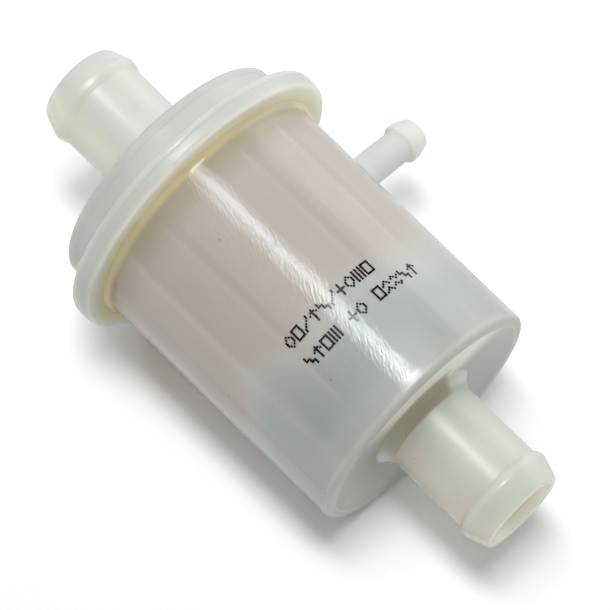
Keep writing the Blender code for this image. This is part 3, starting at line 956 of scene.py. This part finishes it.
REST_TILT = math.radians(5.46)      # the filter rests on its flange and on the edge of its bottom
CAMERA_TILT = math.radians(3.9)
CAMERA_AIM = DATUM + Vector((-20.8, 0.3, 0)) * MM
CAMERA_DISTANCE = 0.4164
CAMERA_AZIMUTH = math.radians(219.8)
CAMERA_ELEVATION = math.radians(66.3)
CAMERA_LENS = 169.7
FLOOR_LEVEL = -24.15
FLOOR_SIZE = 1.4
FLOOR_FADE = (0.10, 0.30)   # from the table to plain white, in metres from the datum
FLOOR_GRAIN = 900.0
TABLE = linear(244, 244, 244)
TABLE_GRAIN = linear(240, 240, 240)
COOL = (0.90, 1.0, 1.05)
WARM = (1.10, 1.0, 0.95)
WHITE = (1.0, 1.0, 1.0)
LAMPS = (                   # name, place from the datum and size in metres, radiance, colour
    ("overhead_strip", (0.06, 0.042, 0.80), (0.48, 0.135), 9.5, COOL),
    ("overhead_box", (0.005, 0.025, 0.85), (0.23, 0.23), 9.4, WARM),
    ("overhead_card", (0.055, -0.12, 0.86), (0.13, 0.50), 1.4, COOL),
    ("overhead_panel", (0.0, 0.0, 1.0), (1.2, 1.2), 0.18, WHITE),
    ("right_panel", (0.0, -0.98, 0.3), (1.2, 0.7), 1.42, WHITE),
    ("left_panel", (0.0, 0.42, 0.9), (1.2, 0.6), 0.42, WHITE),
    ("inlet_panel", (0.7, 0.0, 0.7), (0.6, 1.2), 0.70, WHITE),
    ("outlet_panel", (-0.95, 0.0, 0.25), (0.5, 1.2), 0.60, WHITE),
)
WORLD_GREY = 0.01
FLOOR_BOUNCE = 1.15         # the table's brightness to the light that it throws back
FLOOR_GAIN = 1.45           # and to the camera: overexposed, so only contact shadows stay grey


def aim(thing, target, up=Vector((0, 0, 1))):
    """Point a camera or lamp at a place, with no roll about up."""
    back = (thing.location - target).normalized()
    right = up.cross(back).normalized()
    matrix = Matrix((right, back.cross(right), back)).transposed().to_4x4()
    matrix.translation = thing.location
    thing.matrix_world = matrix


def floor_material():
    """A table that is brighter to the camera than to the light, and plain white further out."""
    nodes = Nodes("table_white")
    place = nodes.add("ShaderNodeTexCoord").outputs["Object"]
    length = nodes.add("ShaderNodeVectorMath", operation="LENGTH")
    nodes.link(place, length.inputs[0])
    far = nodes.step(length.outputs["Value"], *FLOOR_FADE)
    paint = nodes.mix(nodes.noise(place, FLOOR_GRAIN, 3.0), TABLE, TABLE_GRAIN)
    seen = nodes.add("ShaderNodeLightPath").outputs["Is Camera Ray"]
    colour = nodes.mix(seen, nodes.scaled(paint, FLOOR_BOUNCE), nodes.scaled(paint, FLOOR_GAIN))
    nodes.link(colour, nodes.shader.inputs["Base Color"])
    nodes.shader.inputs["Roughness"].default_value = 0.9
    nodes.shader.inputs["Specular IOR Level"].default_value = 0.1
    glow = nodes.add("ShaderNodeEmission")
    mixer = nodes.add("ShaderNodeMixShader")
    nodes.link(far, mixer.inputs[0])
    nodes.link(nodes.shader.outputs[0], mixer.inputs[1])
    nodes.link(glow.outputs[0], mixer.inputs[2])
    nodes.link(mixer.outputs[0], nodes.tree.nodes["Material Output"].inputs["Surface"])
    return nodes.material


def build_floor():
    builder = bmesh.new()
    bmesh.ops.create_grid(builder, x_segments=24, y_segments=24, size=FLOOR_SIZE)
    floor = add_mesh("table", builder)
    centre = DATUM + Vector((0, 0, FLOOR_LEVEL * MM))
    floor.matrix_world = Matrix.Translation(centre) @ Matrix.Rotation(REST_TILT, 4, "Y")
    floor.data.materials.append(floor_material())


def build_world():
    """White to the camera, a softer grey to everything else."""
    world = bpy.data.worlds.new("studio")
    bpy.context.scene.world = world
    world.use_nodes = True
    tree = world.node_tree
    background = tree.nodes["Background"]
    path = tree.nodes.new("ShaderNodeLightPath")
    mix = tree.nodes.new("ShaderNodeMix")
    mix.data_type = "RGBA"
    mix.inputs[6].default_value = (WORLD_GREY, WORLD_GREY, WORLD_GREY, 1)
    mix.inputs[7].default_value = (1, 1, 1, 1)
    tree.links.new(path.outputs["Is Camera Ray"], mix.inputs[0])
    tree.links.new(mix.outputs[2], background.inputs["Color"])


def add_lamp(name, place, size, radiance, colour):
    """A rectangular softbox that faces the filter; radiance is what its face shows."""
    data = bpy.data.lights.new(name, "AREA")
    data.shape = "RECTANGLE"
    data.size, data.size_y = size
    data.energy = radiance * math.pi * size[0] * size[1]
    data.color = colour
    lamp = bpy.data.objects.new(name, data)
    bpy.context.scene.collection.objects.link(lamp)
    lamp.location = DATUM + Vector(place)
    aim(lamp, DATUM, Vector((0, 1, 0)))
    lamp.visible_camera = False


def build_lights():
    """Two bright boxes that make the streaks, and dim panels all round."""
    for name, place, size, radiance, colour in LAMPS:
        add_lamp(name, place, size, radiance, colour)


def build_camera():
    camera = bpy.data.objects.new("camera", bpy.data.cameras.new("camera"))
    bpy.context.scene.collection.objects.link(camera)
    camera.data.lens = CAMERA_LENS
    camera.data.sensor_width = 36
    camera.data.clip_start = 0.01
    flat = math.cos(CAMERA_ELEVATION)
    back_x = math.sin(CAMERA_AZIMUTH) * flat
    back_y = -math.cos(CAMERA_AZIMUTH) * flat
    back = Vector((back_x, back_y, math.sin(CAMERA_ELEVATION)))
    camera.location = CAMERA_AIM + back * CAMERA_DISTANCE
    aim(camera, CAMERA_AIM, Vector((math.sin(CAMERA_TILT), 0, math.cos(CAMERA_TILT))))
    bpy.context.scene.camera = camera


def main():
    build_housing(housing_material())
    build_cover(cover_material())
    dress_inner_pieces()
    build_print()
    build_floor()
    build_world()
    build_lights()
    build_camera()
    bpy.context.scene.view_settings.view_transform = "Standard"
    bpy.context.scene.view_settings.look = "None"


main()
